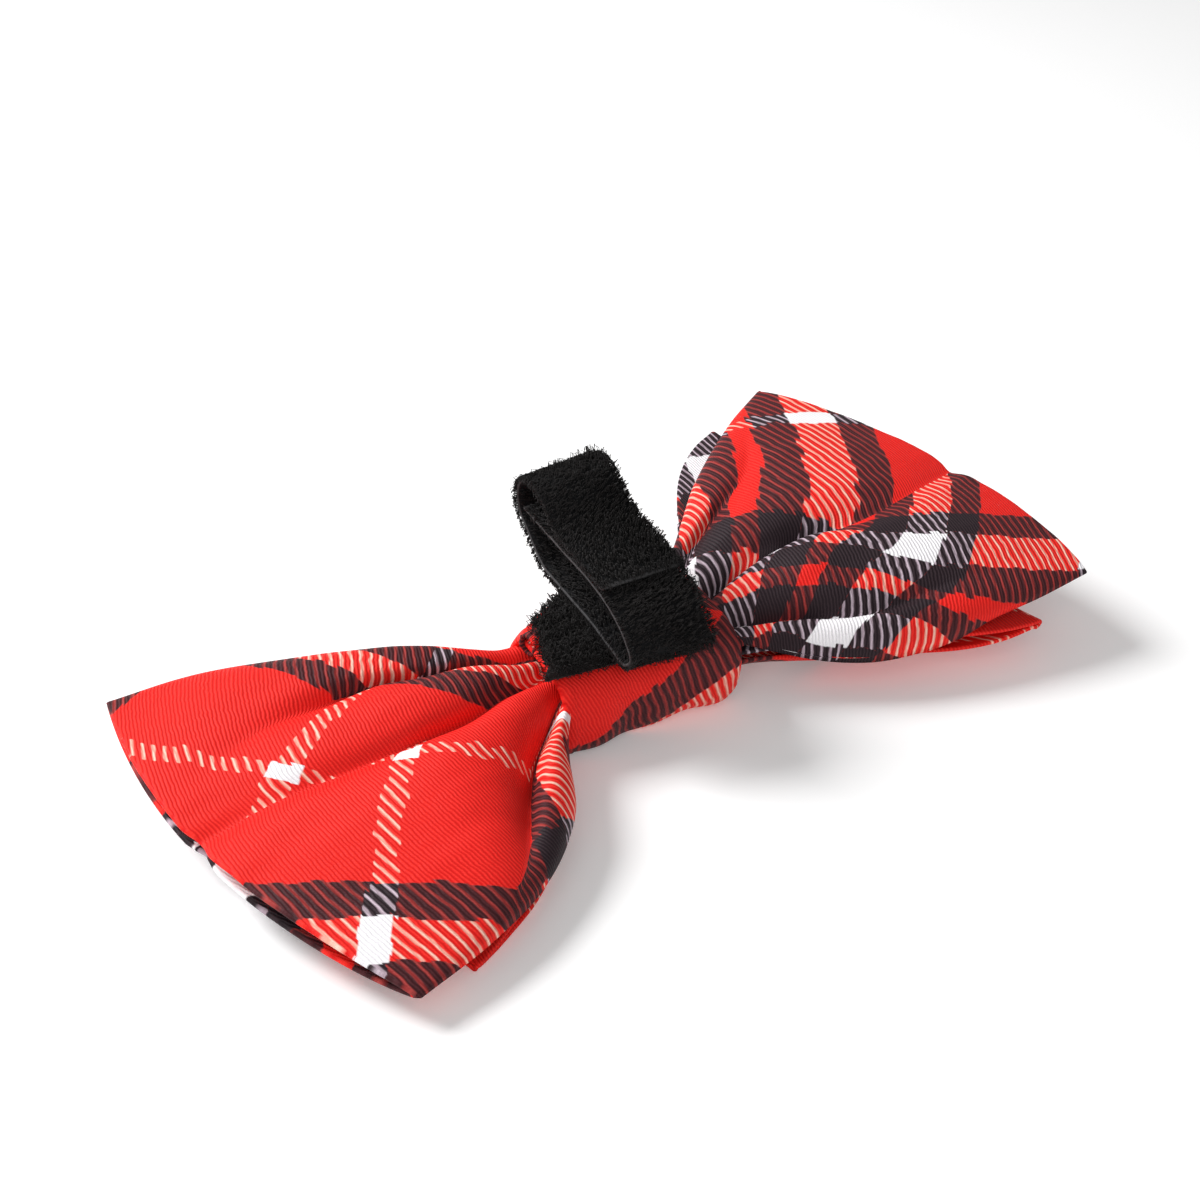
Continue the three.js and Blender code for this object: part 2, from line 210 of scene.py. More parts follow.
class Wiring:
    """Short ways to add and link shader nodes. came is a group's input node."""

    def __init__(self, tree, came=None):
        self.tree = tree
        self.came = came

    def node(self, kind, **values):
        made = self.tree.nodes.new(kind)
        for key, value in values.items():
            setattr(made, key, value)
        return made

    def link(self, source, socket):
        """Links an output to a socket, or sets the socket to a plain value."""
        if isinstance(source, (int, float, tuple)):
            socket.default_value = source
        else:
            self.tree.links.new(source, socket)

    def feed(self, made, **sources):
        """Links outputs to a node's inputs by name, or sets them to plain values."""
        for name, source in sources.items():
            self.link(source, made.inputs[name.replace("_", " ")])
        return made

    def math(self, operation, *sources):
        made = self.node("ShaderNodeMath", operation=operation)
        for k, source in enumerate(sources):
            self.link(source, made.inputs[k])
        return made.outputs[0]

    def plus(self, *sources):
        return self.math("ADD", *sources)

    def minus(self, *sources):
        return self.math("SUBTRACT", *sources)

    def times(self, *sources):
        return self.math("MULTIPLY", *sources)

    def mix(self, share, first, second):
        made = self.node("ShaderNodeMix", data_type="RGBA")
        self.link(share, made.inputs["Factor"])
        self.link(first, made.inputs[MIX_FIRST])
        self.link(second, made.inputs[MIX_SECOND])
        return made.outputs[MIX_RESULT]

    def ramp(self, value, low, high):
        """0 at low, 1 at high, straight between."""
        made = self.feed(self.node("ShaderNodeMapRange"), Value=value, From_Min=low, From_Max=high)
        return made.outputs["Result"]

    def split(self, vector):
        made = self.node("ShaderNodeSeparateXYZ")
        self.link(vector, made.inputs[0])
        return made.outputs

    def join(self, x, y, z=0.0):
        made = self.node("ShaderNodeCombineXYZ")
        for k, source in enumerate((x, y, z)):
            self.link(source, made.inputs[k])
        return made.outputs[0]

    def noise(self, vector, scale, detail=2.0):
        made = self.feed(self.node("ShaderNodeTexNoise"), Vector=vector, Scale=scale, Detail=detail)
        return made.outputs["Fac"]

    def random(self, value):
        made = self.feed(self.node("ShaderNodeTexWhiteNoise", noise_dimensions="1D"), W=value)
        return made.outputs["Value"]

    def bump(self, height, distance, shader):
        made = self.feed(self.node("ShaderNodeBump"), Strength=BUMP_STRENGTH, Distance=distance,
                         Height=height)
        self.feed(shader, Normal=made.outputs[0])

    def group(self, tree, **sources):
        """Places a node group and returns its outputs."""
        return self.feed(self.node("ShaderNodeGroup", node_tree=tree), **sources).outputs

    def output(self, **sources):
        self.feed(self.node("NodeGroupOutput"), **sources)


# The tartan's sett, the same both ways on the bias, in millimetres from the middle of a thin
# white line to the pivot in the narrow red stripe, where it turns back
SETT = {"thin white": 1.6, "red": 28.5, "black": 35.5, "wide white": 43.7, "black again": 50.7,
        "pivot": 52.95}
STROKE_PITCH = 1.46     # of the strokes that the printed weave is drawn with
STROKE_SLANT = -0.182
STROKE_WANDER = 1.3     # how far a stroke strays from a straight line
BLACK_STROKE, WHITE_STROKE = 0.345, 0.15        # half their widths, as shares of the pitch
STROKE_RUN = 0.2        # how far a stroke runs past its stripe, as a share of half its width
CROSSING_SPREAD = 0.3   # how far a solid white crossing spreads past its two lines
FALLING_SALT, RISING_SALT = 11.5, 47.5          # so that the two ways aren't ragged alike
RIB_PITCH = 0.57        # of the real twill ribs
RIB_WANDER = 0.5
THREAD_PITCH = 0.62     # of the single threads along a rib
THREAD_SHARE = 0.14     # of the weave's height
BUMP_STRENGTH = 0.8


def tartan_print():
    """Colour masks of a tartan printed with slanting strokes on the bias of the cloth."""
    group, w = group_of("tartan print", [
        ("Flat", "NodeSocketVector", None),
        ("Stroke Pitch", "NodeSocketFloat", STROKE_PITCH),
        ("Unevenness", "NodeSocketFloat", 1.0),
        ("Softness", "NodeSocketFloat", 0.22),
    ], [(mask, "NodeSocketFloat") for mask in ("White", "White Strokes", "Black Strokes",
                                               "Solid Black", "Dark Ground")])
    flat, pitch = w.came.outputs["Flat"], w.came.outputs["Stroke Pitch"]
    x, y, _ = w.split(flat)
    wander = w.times(w.minus(w.noise(flat, 0.16), 0.5), STROKE_WANDER)
    slanted = w.plus(x, w.times(y, STROKE_SLANT))
    stroke_place = w.math("DIVIDE", w.plus(slanted, wander), pitch)
    number = w.math("FLOOR", stroke_place)
    from_middle = w.times(w.math("ABSOLUTE", w.minus(w.minus(stroke_place, number), 0.5)), pitch)
    q = w.times(w.plus(x, y), math.sqrt(0.5))
    r = w.times(w.minus(x, y), math.sqrt(0.5))

    def bands(place, salt):
        """How deep a place is inside the white and the black stripes, in millimetres."""
        ragged = w.times(w.minus(w.random(w.plus(number, salt)), 0.5), w.came.outputs["Unevenness"])
        m = w.math("PINGPONG", w.plus(place, ragged), SETT["pivot"])

        def inside(low, high):
            middle, half = (low + high) / 2, (high - low) / 2
            return w.minus(half, w.math("ABSOLUTE", w.minus(m, middle)))

        white = w.math("MAXIMUM", w.minus(SETT["thin white"], m),
                       inside(SETT["black"], SETT["wide white"]))
        black = w.math("MAXIMUM", inside(SETT["red"], SETT["black"]),
                       inside(SETT["wide white"], SETT["black again"]))
        return white, black

    def solid(depth):
        return w.ramp(depth, w.times(w.came.outputs["Softness"], -0.5),
                      w.times(w.came.outputs["Softness"], 0.5))

    def strokes(depth, half_width):
        """Strokes with round ends that fill a stripe."""
        short = w.math("MAXIMUM", w.minus(half_width, w.times(depth, math.sqrt(2))), 0.0)
        room = w.minus(w.times(half_width, half_width), w.times(short, short))
        width = w.math("SQRT", w.math("MAXIMUM", room, 0.0))
        on_stroke = solid(w.minus(width, from_middle))
        return w.times(on_stroke, solid(w.plus(depth, w.times(half_width, STROKE_RUN))))

    white_q, black_q = bands(q, FALLING_SALT)
    white_r, black_r = bands(r, RISING_SALT)
    wide_stroke = w.times(pitch, BLACK_STROKE)
    thin_stroke = w.times(pitch, WHITE_STROKE)
    print_of = {}
    for key, depth in (("wq", white_q), ("kq", black_q), ("wr", white_r), ("kr", black_r)):
        print_of[key] = solid(depth)
        print_of[key + " strokes"] = strokes(depth, thin_stroke if key[0] == "w" else wide_stroke)

    def either(first, second):
        return w.math("MAXIMUM", print_of[first], print_of[second])

    def both(first, second):
        return w.times(print_of[first], print_of[second])

    crossed = w.math("MAXIMUM", both("kq", "kr"), w.math("MAXIMUM", both("kq", "wr"), both("kr", "wq")))
    crossing = w.times(solid(w.plus(white_q, CROSSING_SPREAD)), solid(w.plus(white_r, CROSSING_SPREAD)))
    w.output(White=crossing, White_Strokes=either("wq strokes", "wr strokes"),
             Black_Strokes=either("kq strokes", "kr strokes"), Solid_Black=crossed,
             Dark_Ground=either("kq", "kr"))
    return group


def twill_weave():
    """Height of fine slanting ribs, each broken up into single threads, and their shade: a painted highlight
    on the rib crests and painted shade in the grooves, with streaks of the weave's own tone.
    """
    group, w = group_of("twill weave", [
        ("Flat", "NodeSocketVector", None), ("Rib Pitch", "NodeSocketFloat", RIB_PITCH),
        ("Slant", "NodeSocketFloat", STROKE_SLANT)],
        [("Height", "NodeSocketFloat"), ("Shade", "NodeSocketFloat")])
    flat, pitch = w.came.outputs["Flat"], w.came.outputs["Rib Pitch"]
    x, y, _ = w.split(flat)
    wander = w.times(w.noise(flat, 0.5), RIB_WANDER)
    across = w.plus(w.plus(x, w.times(y, w.came.outputs["Slant"])), wander)
    turn = w.times(w.math("DIVIDE", across, pitch), 2 * math.pi)
    rib = w.times(w.plus(w.math("SINE", turn), 1.0), 0.5)
    along = w.times(w.plus(y, w.times(x, 0.9)), 2 * math.pi / THREAD_PITCH)
    thread = w.times(w.plus(w.math("SINE", along), 1.0), 0.5)
    height = w.plus(w.times(rib, 1 - THREAD_SHARE), w.times(w.times(rib, thread), THREAD_SHARE))
    # Shade: a painted highlight on each rib's crest and painted shade in its groove, with streaks of the
    # weave's own tone
    shade = w.plus(w.times(rib, 0.8), w.times(
        w.noise(w.join(w.times(x, 2.2), w.times(y, 0.7)), 1.0, 3.0), 0.2))
    w.output(Height=height, Shade=shade)
    return group


def new_finish(name):
    """A material, its wiring and its shader."""
    finish = bpy.data.materials.new(name)
    finish.use_nodes = True
    return finish, Wiring(finish.node_tree), finish.node_tree.nodes["Principled BSDF"]


def tartan_cloth(name, print_group, weave_group, scale=1.0):
    """Printed polyester twill: bright red, black hatching and lavender white strokes. With the
    scale of its flat places, its strokes and ribs stand as far apart as on the other pieces."""
    finish, w, shader = new_finish(name)
    uv = w.node("ShaderNodeUVMap", uv_map="flat cloth").outputs[0]
    flat = w.feed(w.node("ShaderNodeVectorMath", operation="SCALE"), Vector=uv, Scale=1 / MM).outputs[0]
    tartan = w.group(print_group, Flat=flat, Stroke_Pitch=STROKE_PITCH * scale)
    weave = w.group(weave_group, Flat=flat, Rib_Pitch=RIB_PITCH * scale)
    cloudy = w.times(w.noise(flat, 0.09, 3.0), 0.3)

    # Each colour as a darker and a lighter copy, mixed by the rib shade: painted shade in the rib grooves
    # and a painted highlight on their crests
    def with_painted_rib_shade(dark, light):
        return w.mix(weave["Shade"], dark, light)

    red = w.mix(cloudy, with_painted_rib_shade((0.68, 0.007, 0.007, 1), (1.0, 0.038, 0.026, 1)), (0.76, 0.010, 0.010, 1))
    worn_red = with_painted_rib_shade((0.26, 0.024, 0.024, 1), (0.42, 0.056, 0.050, 1))
    black_on_red = with_painted_rib_shade((0.040, 0.009, 0.011, 1), (0.085, 0.022, 0.026, 1))
    black = with_painted_rib_shade((0.014, 0.008, 0.011, 1), (0.044, 0.028, 0.033, 1))
    white_on_red = with_painted_rib_shade((0.92, 0.34, 0.25, 1), (1.0, 0.66, 0.54, 1))
    white_on_black = with_painted_rib_shade((0.40, 0.30, 0.35, 1), (0.66, 0.54, 0.62, 1))
    white = with_painted_rib_shade((0.88, 0.85, 0.89, 1), (0.99, 0.97, 0.98, 1))
    colour = w.mix(tartan["Dark Ground"], red, worn_red)
    colour = w.mix(tartan["Black Strokes"], colour, black_on_red)
    colour = w.mix(tartan["Solid Black"], colour, black)
    strokes = w.mix(tartan["Dark Ground"], white_on_red, white_on_black)
    colour = w.mix(tartan["White Strokes"], colour, strokes)
    colour = w.mix(tartan["White"], colour, white)
    w.bump(weave["Height"], 0.12 * MM, shader)
    rough = w.plus(0.50, w.times(weave["Shade"], 0.14))
    w.feed(shader, Base_Color=colour, Roughness=rough, Specular_IOR_Level=0.11)
    return finish


def pile_finish(name, dark, light):
    """Black pile, a little lighter or darker from fibre to fibre."""
    finish, w, shader = new_finish(name)
    place = w.node("ShaderNodeTexCoord").outputs["Object"]
    w.feed(shader, Base_Color=w.mix(w.noise(place, 900.0, 3.0), dark, light), Roughness=0.75,
           Specular_IOR_Level=0.12, Sheen_Weight=0.06, Sheen_Roughness=0.5)
    return finish


def backing_finish(name, dark, light, cut_edge):
    """The strap's thin woven backing, paler along its cut edges and its free end."""
    finish, w, shader = new_finish(name)
    place = w.node("ShaderNodeTexCoord").outputs["Object"]
    to_go, across, _ = w.split(w.node("ShaderNodeUVMap", uv_map="flat cloth").outputs[0])
    edge = w.ramp(w.math("ABSOLUTE", across), (STRAP_HALF_WIDTH - 0.01) * MM, (STRAP_HALF_WIDTH + 0.05) * MM)
    end = w.ramp(to_go, 0.45 * MM, 0.30 * MM)
    colour = w.mix(w.noise(place, 1400.0, 3.0), dark, light)
    colour = w.mix(w.math("MAXIMUM", edge, end), colour, cut_edge)
    w.bump(w.noise(place, 2200.0, 3.0), 0.3 * MM, shader)
    w.feed(shader, Base_Color=colour, Roughness=0.8, Specular_IOR_Level=0.15)
    return finish


# The two bows

# Rows: reach from the middle, far edge, near edge, height of the fullest lobe, heights of the
# far and the near edge
LEFT_WING = [
    (14.0, 9.2, -7.0, 4.6, 2.4, 2.2),
    (18.0, 10.6, -8.0, 5.4, 2.4, 1.6),
    (21.0, 13.0, -10.8, 6.6, 2.4, 1.2),
    (25.0, 16.6, -15.6, 7.8, 2.6, 1.0),
    (30.0, 20.3, -22.6, 8.8, 2.8, 1.0),
    (36.0, 24.2, -27.8, 9.0, 3.0, 1.4),
    (45.0, 29.4, -33.0, 8.8, 3.0, 2.0),
    (57.0, 35.6, -36.4, 7.4, 3.0, 2.6),
    (70.0, 39.0, -38.0, 5.3, 3.0, 3.0),
]
RIGHT_WING = [
    (15.0, 7.4, -13.0, 4.6, 2.2, 1.0),
    (19.0, 9.8, -17.0, 5.6, 2.2, -0.4),
    (23.0, 12.4, -21.2, 7.0, 2.4, -1.4),
    (29.0, 16.6, -26.6, 8.6, 2.6, -1.8),
    (36.0, 21.6, -30.6, 9.2, 2.8, -1.4),
    (43.0, 25.8, -33.4, 9.2, 3.0, -0.4),
    (50.0, 29.6, -34.9, 8.8, 3.0, 1.2),
    (59.0, 34.0, -37.2, 7.6, 3.0, 2.4),
    (70.0, 38.2, -38.6, 5.3, 3.0, 3.0),
]
END_BULGE = {-1: 7.0, 1: 5.8}
# Valleys of the rear ply. Rows: reach, place across, depth, width on the far side, width on the
# near side, how far the far side overhangs, cloth hidden in it
LEFT_VALLEYS = {
    "far valley": [
        (14.0, 5.4, 3.0, 1.4, 1.4, 0.0, 9.0),
        (19.0, 7.2, 4.2, 1.8, 1.8, 0.6, 10.0),
        (25.0, 10.4, 5.8, 2.0, 2.6, 1.9, 9.0),
        (31.4, 12.6, 6.2, 2.4, 3.2, 2.6, 8.0),
        (38.0, 15.4, 5.6, 2.8, 3.8, 2.2, 7.0),
        (47.0, 15.6, 3.9, 3.6, 4.4, 1.0, 5.5),
        (56.5, 16.0, 1.6, 5.0, 4.6, 0.0, 2.0),
        (64.0, 14.0, 0.5, 6.0, 5.0, 0.0, 0.0),
        (70.0, 13.0, 0.0, 6.0, 5.0, 0.0, 0.0),
    ],
    "middle seam": [
        (14.0, 1.2, 3.0, 1.4, 1.4, 0.0, 19.0),
        (19.0, 0.8, 3.8, 1.6, 1.6, 0.0, 18.4),
        (24.0, 0.2, 3.8, 1.9, 1.8, 0.2, 17.3),
        (33.0, -0.8, 4.9, 2.0, 3.0, 0.9, 14.3),
        (41.0, -0.6, 4.1, 2.4, 3.6, 0.8, 10.4),
        (49.0, -0.1, 3.0, 3.0, 4.0, 0.4, 8.0),
        (59.6, 1.8, 1.5, 4.0, 3.6, 0.0, 3.8),
        (70.0, 3.1, 1.3, 3.2, 3.2, 0.0, 1.2),
    ],
    "near valley": [
        (14.0, -3.4, 3.0, 1.4, 1.4, 0.0, 18.0),
        (18.0, -5.2, 4.2, 1.8, 1.4, 0.0, 18.0),
        (24.0, -9.0, 6.8, 3.4, 1.8, 0.8, 25.0),
        (30.0, -13.2, 7.6, 4.6, 2.2, 1.0, 21.5),
        (34.5, -17.8, 7.2, 5.4, 2.2, 0.8, 19.5),
        (39.0, -23.0, 5.6, 5.8, 2.4, 0.4, 17.0),
        (44.0, -28.6, 2.8, 6.0, 2.6, 0.0, 14.0),
        (50.0, -33.5, 0.0, 4.0, 3.0, 0.0, 3.0),
        (70.0, -38.0, 0.0, 4.0, 3.0, 0.0, 0.0),
    ],
}
RIGHT_VALLEYS = {
    "far valley": [
        (15.0, 4.0, 3.0, 1.4, 1.4, 0.0, 6.0),
        (21.0, 7.8, 4.2, 2.0, 2.0, 0.4, 7.0),
        (28.0, 11.0, 4.8, 2.6, 2.6, 1.0, 6.0),
        (34.0, 13.3, 4.4, 3.2, 3.2, 1.0, 4.0),
        (45.0, 17.5, 2.4, 4.4, 4.2, 0.2, 1.0),
        (55.3, 27.0, 0.6, 5.0, 5.0, 0.0, 0.0),
        (70.0, 36.0, 0.0, 5.0, 5.0, 0.0, 0.0),
    ],
    "middle seam": [
        (15.0, -2.0, 3.0, 1.4, 1.4, 0.0, 2.5),
        (19.5, -1.0, 4.4, 1.8, 1.8, 0.4, 2.5),
        (31.4, -1.6, 4.4, 2.8, 2.0, 0.8, 1.5),
        (39.7, -3.2, 3.9, 3.4, 2.3, 0.6, 0.5),
        (45.0, -6.2, 2.6, 3.8, 3.4, 0.0, 0.0),
        (57.3, -6.7, 1.6, 4.0, 3.8, 0.0, 0.0),
        (70.0, -5.0, 1.0, 3.4, 3.4, 0.0, 0.0),
    ],
    "near valley": [
        (15.0, -8.4, 3.0, 1.4, 1.4, 0.0, 6.0),
        (19.0, -10.4, 4.4, 1.8, 1.8, 0.4, 5.0),
        (24.0, -14.2, 5.0, 2.4, 2.2, 0.8, 2.0),
        (30.0, -19.6, 5.0, 3.0, 2.6, 1.0, 1.5),
        (37.0, -23.6, 4.2, 3.6, 2.8, 0.8, 1.0),
        (44.0, -26.0, 2.8, 4.2, 3.4, 0.4, 0.5),
        (52.0, -28.6, 1.0, 5.0, 4.0, 0.0, 0.0),
        (70.0, -33.0, 0.0, 5.0, 4.0, 0.0, 0.0),
    ],
}
REAR_COLUMNS, LOWER_COLUMNS = 150, 46
WING_ROWS = 92
CORNER_REACH = 70.0         # from the middle to the rear bow's corners
CLOTH_REACH = 77.0          # from the middle to the end of its flat cloth
CREASE = 0.5                # how far a valley's bottom is rounded
LOWER_PLY_BACK = 0.5        # how far its end stands back
LOWER_PLY_SHIFT = 10.0      # of its print against the rear ply's
LEAST_GAP = 1.4             # between the plies under a valley
SEAM_NOTCH, NOTCH_WIDTH = 0.9, 2.2
CLOTH, HEM = 0.6, 0.25      # thickness, and how much more a hem has
FLOOR_GAP = 0.12            # between the front bow and the floor


def across_places():
    """Places across a section: the rear ply from its far edge to its near one, then back."""
    k = np.arange(REAR_COLUMNS + 1) / REAR_COLUMNS
    rear = 0.62 * (1 - 2 * k) + 0.38 * np.cos(math.pi * k)
    k = np.arange(1, LOWER_COLUMNS) / LOWER_COLUMNS
    lower = -(0.5 * (1 - 2 * k) + 0.5 * np.cos(math.pi * k))
    return np.concatenate([rear, lower]), np.arange(REAR_COLUMNS + LOWER_COLUMNS) <= REAR_COLUMNS


def valley_fall(rows, reach, y):
    """Depth of one valley at a place, and how far its far side leans over it."""
    place, depth, far_width, near_width, over, _ = through(rows, reach)
    away = y - place[:, None]
    width = np.where(away > 0, far_width[:, None], near_width[:, None])
    rounded = np.sqrt(away ** 2 + CREASE ** 2) - CREASE
    fall = depth[:, None] * np.exp(-rounded / width)
    shoulder = np.exp(-((away - far_width[:, None]) / (0.8 * far_width[:, None])) ** 2)
    return fall, over[:, None] * shoulder


def wing_skin(side, wing, valleys):
    """Outer skin of one wing from the band to its end. Returns points (rows, columns, 3), the
    reach of each row, and each point's place across before a valley leans it."""
    first = wing[0][0]
    out = np.linspace(0, 1, WING_ROWS)[:, None]
    reach = first + (CORNER_REACH - first) * out[:, 0]
    far, near, crest, far_height, near_height = through(wing, reach)[:, :, None]
    across, is_rear = across_places()
    across, is_rear = across[None, :], is_rear[None, :]
    share = smooth_step(reach, first, CORNER_REACH)[:, None]
    seam_place = through(valleys["middle seam"], reach)[0][:, None]
    y = seam_place + np.where(across > 0, far - seam_place, seam_place - near) * across
    edge = near_height + (far_height - near_height) * (across + 1) / 2
    crown = np.sqrt(np.clip(1 - np.abs(across) ** 2.6, 0, 1))
    lower_ply = 0.25 + 0.6 * share ** 3
    z = edge + np.where(is_rear, crest - edge, lower_ply - edge) * crown
    leaned = y.copy()
    for rows in valleys.values():
        fall, over = valley_fall(rows, reach, y)
        z -= np.where(is_rear, fall * crown, 0)
        leaned -= np.where(is_rear, over * crown, 0)
    lowest = edge + (lower_ply + LEAST_GAP - edge) * crown
    z = np.where(is_rear, np.maximum(z, np.minimum(lowest, edge + (crest - edge) * crown)), z)
    x = reach[:, None] + END_BULGE[side] * out ** 3 * (1 - across ** 2)
    x = x - LOWER_PLY_BACK * out ** 6 * ~is_rear * (1 - across ** 2)
    x = x - SEAM_NOTCH * out ** 8 * np.exp(-((y - seam_place) / NOTCH_WIDTH) ** 2)
    skin = np.stack([side * x, leaned, z], -1)
    unevenness = rumple(np.stack([x / 2.2, y], -1), 5.5, 0.42, 3 + side) * np.abs(crown)
    unevenness += rumple(np.stack([x / 3.2, y], -1), 2.6, 0.16, 9 + side) * np.abs(crown)
    skin[..., 2] += np.where(is_rear, unevenness, 0.3 * unevenness) * (1 - 0.5 * share)
    return skin, reach, y


def wing_flat(side, skin, reach, y, valleys):
    """Flat place of each point of a wing, once for its far half and once for its near half."""
    columns = skin.shape[1]
    from_root = arc_length(skin, 0)
    x = side * (CLOTH_REACH - (from_root[-1][None, :] - from_root))
    around = arc_length(skin, 1)
    seam_arc = around[:, REAR_COLUMNS // 2, None]
    out = seam_arc - around          # positive to the far side
    hidden_far = np.zeros_like(out)
    hidden_near = np.zeros_like(out)
    for name, rows in valleys.items():
        place, *_, hidden = through(rows, reach)
        away = y - place[:, None]
        if name == "middle seam":
            hidden_far += hidden[:, None]
        elif name.startswith("far"):
            hidden_far += hidden[:, None] * smooth_step(away, -0.6, 0.6)
        else:
            hidden_near += hidden[:, None] * smooth_step(-away, -0.6, 0.6)
    is_lower = np.arange(columns)[None, :] > REAR_COLUMNS
    hidden_near = np.where(is_lower, hidden_near[:, REAR_COLUMNS:REAR_COLUMNS + 1], hidden_near)
    x = x + LOWER_PLY_SHIFT * is_lower
    far_half = np.stack([x, out + hidden_far], -1)
    near_half = np.stack([x, out - hidden_near], -1)
    return far_half, near_half


# How the tartan lies on each part of the cloth: the flat place where two thin white lines cross,
# and the scale of flat places along, across and up the rising bias. Below 1 it draws the print out
PRINT = {
    "left far": {"x": -61.0, "y": 8.8, "along": 1.0, "across": 1.0},
    "left near": {"x": -45.4, "y": -3.0, "along": 1.0, "across": 1.0},
    "right far": {"x": 99.4, "y": 0.3, "along": 1.0, "across": 1.0, "rising": 0.76},
    "right near": {"x": 30.9, "y": -64.7, "along": 0.94, "across": 1.44},
    "front": {"x": -83.5, "y": -42.0, "along": 1.0, "across": 1.0},
    "band": {"x": -52.5, "y": 22.9, "along": 0.59, "across": 1.05},
}


def printed(flat, part):
    """Shifts and scales flat places so that a crossing of thin white lines is at nought."""
    chart = PRINT[part]
    moved = (flat - (chart["x"], chart["y"])) * (chart["along"], chart["across"])
    rising = (moved[..., 0] + moved[..., 1]) * chart.get("rising", 1.0) / 2
    falling = (moved[..., 0] - moved[..., 1]) / 2
    return np.stack([rising + falling, rising - falling], -1)


def rear_bow(cloth):
    """Two plies that meet along both long sides, with their ends open as narrow slits."""
    left, left_reach, left_y = wing_skin(-1, LEFT_WING, LEFT_VALLEYS)
    right, right_reach, right_y = wing_skin(1, RIGHT_WING, RIGHT_VALLEYS)
    left_flat = wing_flat(-1, left, left_reach, left_y, LEFT_VALLEYS)
    right_flat = wing_flat(1, right, right_reach, right_y, RIGHT_VALLEYS)
    left_far, left_near = printed(left_flat[0], "left far"), printed(left_flat[1], "left near")
    right_far, right_near = printed(right_flat[0], "right far"), printed(right_flat[1], "right near")
    skin = np.concatenate([left[::-1], right])
    far = np.concatenate([left_far[::-1], right_far])
    near = np.concatenate([left_near[::-1], right_near])
    ends = np.concatenate([left_reach[::-1], right_reach])
    wall = CLOTH + HEM * smooth_step(ends, CORNER_REACH - 4.0, CORNER_REACH)
    wall = np.repeat(wall[:, None], skin.shape[1], 1)
    grid, far = walled(skin, far, wall)
    _, near = walled(skin, near, wall)
    half = REAR_COLUMNS // 2
    column = np.arange(skin.shape[1])
    part = np.where((column < half) | (column > REAR_COLUMNS + LOWER_COLUMNS // 2), 0, 1)
    return cloth_piece("rear_bow_cloth", grid, np.stack([far, near]), part, cloth, "back_bow")


# Rows: reach, half depth, height of the rear ply, depth of the front ply below the parting
FRONT_WING = [
    (14.0, 9.0, -0.4, 5.8),
    (19.0, 10.4, -0.4, 6.2),
    (24.0, 13.6, -0.3, 7.6),
    (30.0, 19.6, -0.3, 8.4),
    (38.0, 26.8, -0.4, 8.2),
    (46.0, 33.0, -0.6, 7.2),
    (53.0, 36.6, -0.9, 5.8),
    (57.5, 38.0, -1.2, 4.6),
]
FRONT_FOLD_REACH, FRONT_FOLD_BULGE, FRONT_FOLD_DEPTH = 58.0, 1.6, 38.2
FRONT_ROWS, FRONT_COLUMNS = 44, 90
FRONT_FLAT_HALF = (60.0, 38.5)          # half a ply's length and depth when flat
FRONT_CLOTH = 0.7
NEAR_LEFT_CORNER = 3.0      # how far it is drawn back to the far side


def front_bow(cloth):
    """A band that is folded back on itself at both ends and open along its long sides."""
    first, last = FRONT_WING[0][0], FRONT_WING[-1][0]
    reach = first + (last - first) * np.linspace(0, 1, FRONT_ROWS) ** 0.8
    half, rear, front = through(FRONT_WING, reach)
    turn = np.linspace(0, math.pi, 14)[1:-1]
    end_middle, end_radius = -(front[-1] - rear[-1]) / 2 + rear[-1] / 2, (front[-1] + rear[-1]) / 2

    def ply(side, inward, height):
        sweep = reach[::-1] if inward else reach
        return np.stack([side * sweep, np.interp(sweep, reach, half), np.interp(sweep, reach, height)], -1)

    def fold(side):
        x = side * (FRONT_FOLD_REACH + FRONT_FOLD_BULGE * np.sin(turn))
        return np.stack([x, np.full(len(turn), FRONT_FOLD_DEPTH),
                         end_middle + side * end_radius * np.cos(turn)], -1)

    loop = np.concatenate([ply(-1, True, rear), ply(1, False, rear), fold(1),
                           ply(1, True, -front), ply(-1, False, -front), fold(-1)])
    share = np.linspace(-1, 1, FRONT_COLUMNS)
    x = np.repeat(loop[None, :, 0], len(share), 0)
    y = share[:, None] * loop[None, :, 1] - math.tan(-KNOT_TURN) * np.clip(x, -19, 19) * (
        1 - smooth_step(np.abs(x), 19, 42))
    z = np.repeat(loop[None, :, 2], len(share), 0)
    below = z < -1.6
    out = smooth_step(np.abs(x), 19.0, FRONT_FOLD_REACH)
    crown = 1 - (0.5 - 0.1 * out) * np.abs(share[:, None]) ** 4
    pleats = sum(np.exp(-((share[:, None] - at) / 0.16) ** 2) for at in (-0.42, 0.4))
    z = np.where(below, z * crown + 2.4 * pleats * (1 - out) * smooth_step(np.abs(x), 14, 22), z)
    y = y + NEAR_LEFT_CORNER * smooth_step(-x, 34, 54) * smooth_step(-share[:, None], 0.2, 1)
    skin = np.stack([x, y, z], -1)
    lowest = (skin @ lean.T)[..., 2] + PARTING_HEIGHT
    skin[..., 2] += np.maximum(FLOOR_GAP - lowest, 0)
    middle = skin[len(share) // 2]
    flat_x = arc_length(middle, 0)
    last_sweep = (np.arange(len(loop)) >= len(loop) - FRONT_ROWS - len(turn))
    flat_x = flat_x - (flat_x[-1] + np.linalg.norm(middle[-1] - middle[0])) * last_sweep
    flat_x = np.repeat(flat_x[None, :], len(share), 0)
    flat = np.stack([flat_x - FRONT_FLAT_HALF[0], share[:, None] * FRONT_FLAT_HALF[1] + 0 * x], -1)
    grid, flat = walled(skin, printed(flat, "front"), FRONT_CLOTH)
    part = np.zeros(grid.shape[1], int)
    return cloth_piece("front_bow_cloth", grid, flat[None], part, cloth, "front_bow")


# The band round the middle

